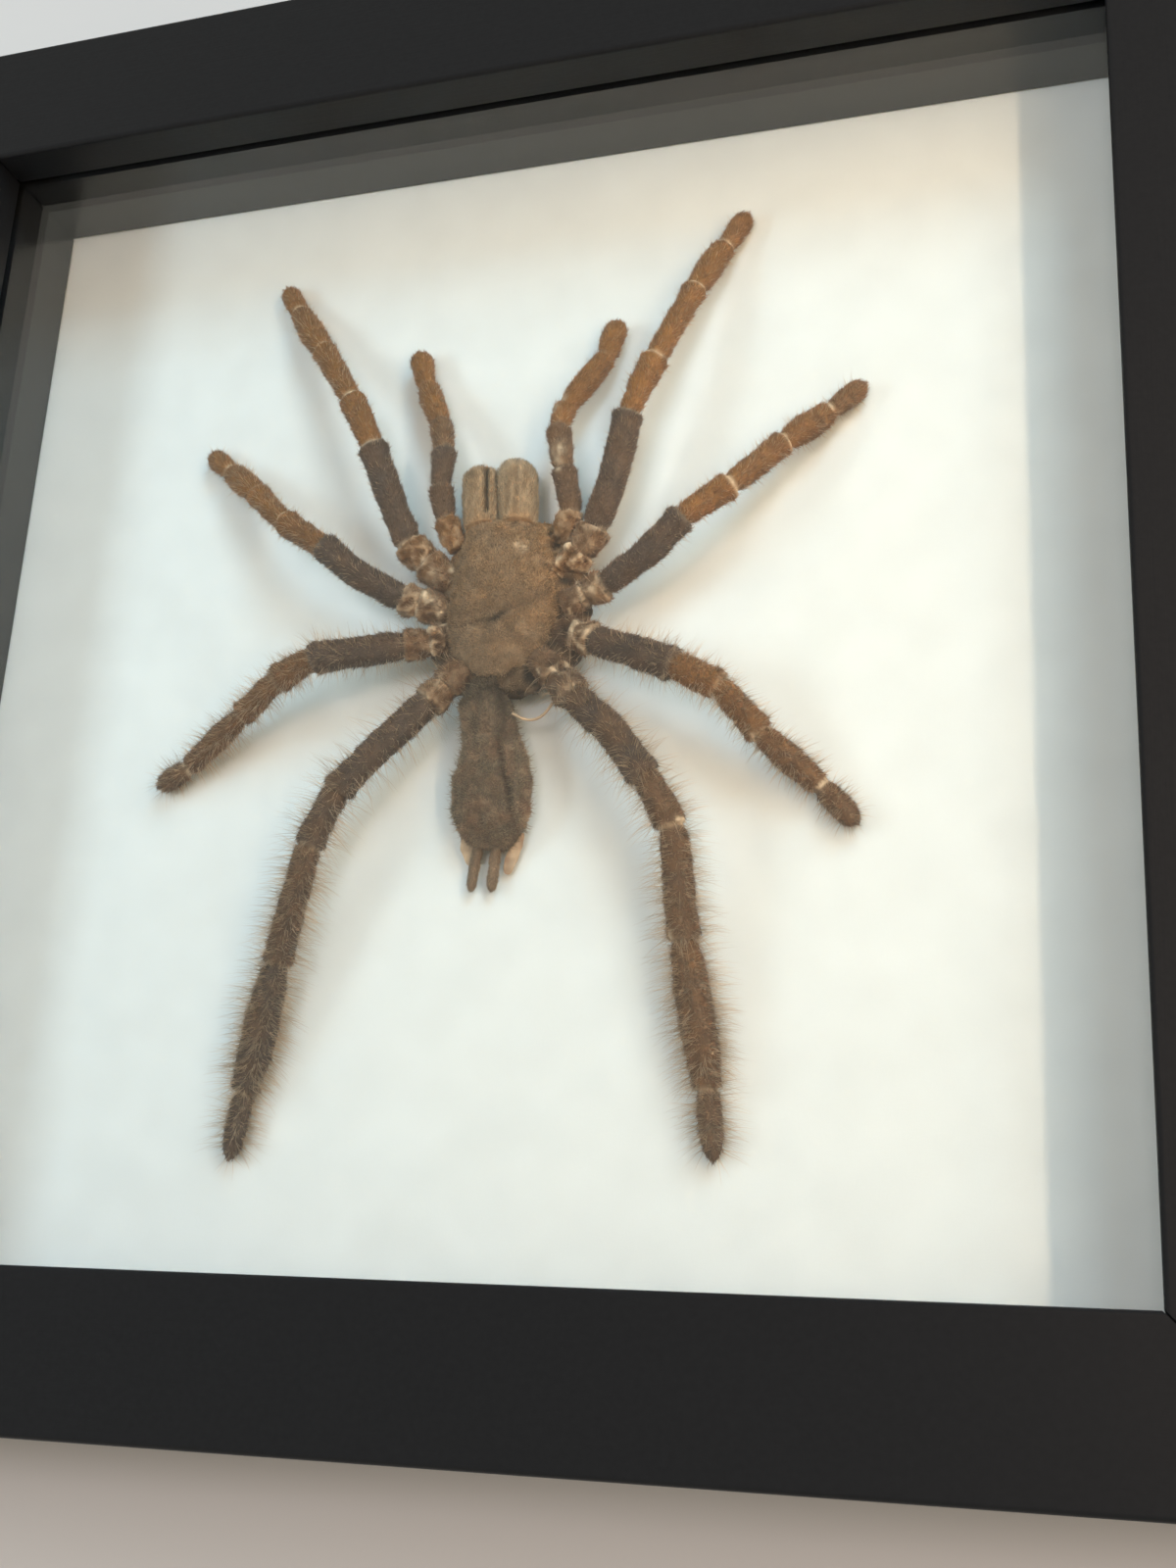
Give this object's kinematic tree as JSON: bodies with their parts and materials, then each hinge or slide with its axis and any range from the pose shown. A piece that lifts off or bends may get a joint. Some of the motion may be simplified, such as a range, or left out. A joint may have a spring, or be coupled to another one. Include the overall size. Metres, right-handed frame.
{
  "type": "framed tarantula specimen",
  "caption": "Dried tarantula with spread legs on a white board, in a square black wooden box frame with a glass front and a hardboard back.",
  "frame": {"origin": "middle of the back plane of the rails", "axes": "+Z out through the glass, +Y to the spider's head and the top of the frame, +X to the right as seen from the front"},
  "size_m": [0.248, 0.248, 0.038],
  "materials": {
    "rail_paint": "black satin paint on wood",
    "clear_glass": "clear polished float glass",
    "spacer_foil": "black satin foil on fibreboard strip",
    "white_board": "matte white mounting board",
    "hardboard": "brown pressed fibreboard, smooth side out",
    "tab_steel": "zinc-plated spring steel",
    "hanger_brass": "brass-plated steel, worn bright",
    "carapace_cuticle": "dry brown cuticle with short olive hair",
    "chelicera_cuticle": "dry taupe cuticle with pale lengthwise hair",
    "leg_cuticle": "dry dark brown cuticle with fine hair and pale joint rings",
    "abdomen_skin": "shrunken dark brown skin with dense hair"
  },
  "bodies": {
    "root": {"rail_bottom": "rail_paint", "tab_bottom_1": "tab_steel", "tab_bottom_2": "tab_steel", "rail_right": "rail_paint", "tab_right_1": "tab_steel", "tab_right_2": "tab_steel", "rail_top": "rail_paint", "tab_top_1": "tab_steel", "tab_top_2": "tab_steel", "rail_left": "rail_paint", "tab_left_1": "tab_steel", "tab_left_2": "tab_steel", "glass_pane": "clear_glass", "mount_board": "white_board", "spacer_top": "spacer_foil", "spacer_bottom": "spacer_foil", "spacer_left": "spacer_foil", "spacer_right": "spacer_foil", "back_panel": "hardboard", "sawtooth_hanger": "hanger_brass", "hanger_tack_left": "hanger_brass", "hanger_tack_right": "hanger_brass", "cephalothorax": "carapace_cuticle", "abdomen": "abdomen_skin", "chelicera_left": "chelicera_cuticle", "chelicera_right": "chelicera_cuticle", "spinneret_left": "abdomen_skin", "spinneret_right": "abdomen_skin", "pedipalp_left": "leg_cuticle", "pedipalp_right": "leg_cuticle", "leg_left_1": "leg_cuticle", "leg_left_2": "leg_cuticle", "leg_left_3": "leg_cuticle", "leg_left_4": "leg_cuticle", "leg_right_1": "leg_cuticle", "leg_right_2": "leg_cuticle", "leg_right_3": "leg_cuticle", "leg_right_4": "leg_cuticle"}
  },
  "joints": []
}
